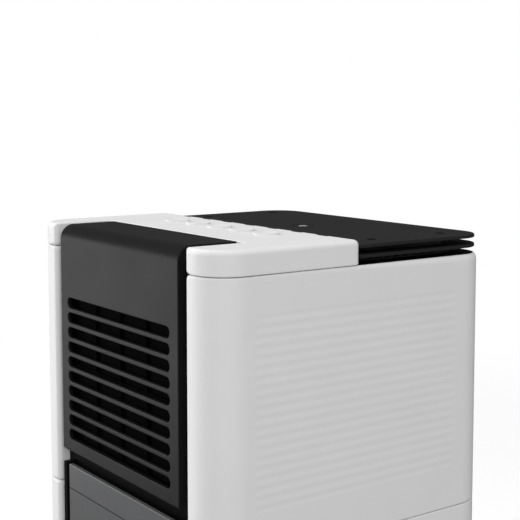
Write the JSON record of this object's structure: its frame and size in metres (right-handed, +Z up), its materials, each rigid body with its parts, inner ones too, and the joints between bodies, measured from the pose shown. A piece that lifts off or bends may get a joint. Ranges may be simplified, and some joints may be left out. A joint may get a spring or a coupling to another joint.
{
  "type": "dehumidifier",
  "caption": "Compact free-standing compressor dehumidifier: white casing, black wrap-over front grille, grey pull-out tank and flat stacked-plate air outlet on top.",
  "frame": {"origin": "centre of the footprint, on the floor under the rubber feet", "axes": "+Z up; -Y is the front with the grille and tank; +X is the right-hand side seen from the front"},
  "size_m": [0.24, 0.231, 0.4011],
  "materials": {
    "white_casing": "satin moulded white",
    "white_bar": "satin moulded white",
    "white_button": "satin moulded white",
    "black_grille": "satin moulded black",
    "black_plate": "matt moulded black",
    "black_trim": "matt moulded black",
    "charcoal_plastic": "matt moulded charcoal",
    "tank_front": "gloss smoked grey",
    "tank_clear": "translucent smoked",
    "natural_plastic": "unpigmented plastic",
    "rubber": "moulded rubber",
    "lens": "diffusing lens",
    "dark_screw": "black oxide",
    "circuit_board": "solder-masked board",
    "switch_plastic": "matt black",
    "fin_aluminium": "rolled fin stock",
    "copper_tube": "drawn copper, carried as brass",
    "steel": "plated steel",
    "zinc_plate": "zinc-plated sheet",
    "zinc_screw": "zinc plated",
    "black_enamel": "black enamel",
    "filter_net": "woven nylon net"
  },
  "bodies": {
    "root": {"base_pan": "charcoal_plastic", "rubber_feet": "rubber", "lower_housing": "white_casing", "side_shell_left": "white_casing", "side_shell_right": "white_casing", "rear_cover": "white_casing", "front_frame": "black_trim", "tank_bay": "charcoal_plastic", "mid_shelf": "charcoal_plastic", "top_deck": "black_trim", "control_bar": "white_bar", "outlet_core": "black_trim", "outlet_lower_plate": "black_plate", "outlet_top_plate": "black_plate", "outlet_screws": "dark_screw", "status_lens": "lens", "button_board": "circuit_board", "push_switches": "switch_plastic", "drip_tray": "black_trim", "evaporator_fins": "fin_aluminium", "evaporator_tube": "copper_tube", "condenser_fins": "fin_aluminium", "condenser_tube": "copper_tube", "fan_inlet_plate": "charcoal_plastic", "fan_housing": "charcoal_plastic", "fan_motor": "steel", "motor_bracket": "zinc_plate", "motor_screws": "zinc_screw", "compressor": "black_enamel", "compressor_grommets": "rubber", "compressor_bolts": "zinc_screw", "terminal_cover": "switch_plastic", "accumulator": "black_enamel", "discharge_pipe": "copper_tube", "suction_pipe": "copper_tube", "capillary_tube": "copper_tube", "capacitor": "fin_aluminium", "power_board": "circuit_board", "power_inlet": "switch_plastic", "level_switch": "switch_plastic", "humidity_sensor": "circuit_board", "rear_screws": "zinc_screw", "base_screws": "zinc_screw"},
    "grille": {"front_grille": "black_grille", "filter_frame": "black_trim", "filter_mesh": "filter_net"},
    "tank": {"tank_shell": "tank_clear", "tank_front": "tank_front", "tank_lid": "natural_plastic", "float_pin": "steel"},
    "float": {"float_arm": "natural_plastic"},
    "fan": {"fan_wheel": "natural_plastic", "fan_shaft": "steel"},
    "button_1": {"button_1": "white_button"},
    "button_2": {"button_2": "white_button"},
    "button_3": {"button_3": "white_button"},
    "button_4": {"button_4": "white_button"},
    "button_5": {"button_5": "white_button"}
  },
  "joints": [
    {"name": "tank_slide", "type": "slide", "parent": "root", "child": "tank", "axis": [0, -1, 0], "range_m": [0, 0.13]},
    {"name": "float_lift", "type": "hinge", "parent": "tank", "child": "float", "pos_m": [0.044, -0.008, 0.1882], "axis": [-1, 0, 0], "range_deg": [0, 12]},
    {"name": "fan_spin", "type": "hinge", "parent": "root", "child": "fan", "pos_m": [0, 0, 0.296], "axis": [0, 1, 0], "continuous": true},
    {"name": "grille_pull", "type": "slide", "parent": "root", "child": "grille", "axis": [0, -1, 0], "range_m": [0, 0.06]},
    {"name": "button_1_press", "type": "slide", "parent": "root", "child": "button_1", "axis": [0, 0, -1], "range_m": [0, 0.0012], "stiffness_N_per_m": 300},
    {"name": "button_2_press", "type": "slide", "parent": "root", "child": "button_2", "axis": [0, 0, -1], "range_m": [0, 0.0012], "stiffness_N_per_m": 300},
    {"name": "button_3_press", "type": "slide", "parent": "root", "child": "button_3", "axis": [0, 0, -1], "range_m": [0, 0.0012], "stiffness_N_per_m": 300},
    {"name": "button_4_press", "type": "slide", "parent": "root", "child": "button_4", "axis": [0, 0, -1], "range_m": [0, 0.0012], "stiffness_N_per_m": 300},
    {"name": "button_5_press", "type": "slide", "parent": "root", "child": "button_5", "axis": [0, 0, -1], "range_m": [0, 0.0012], "stiffness_N_per_m": 300}
  ]
}
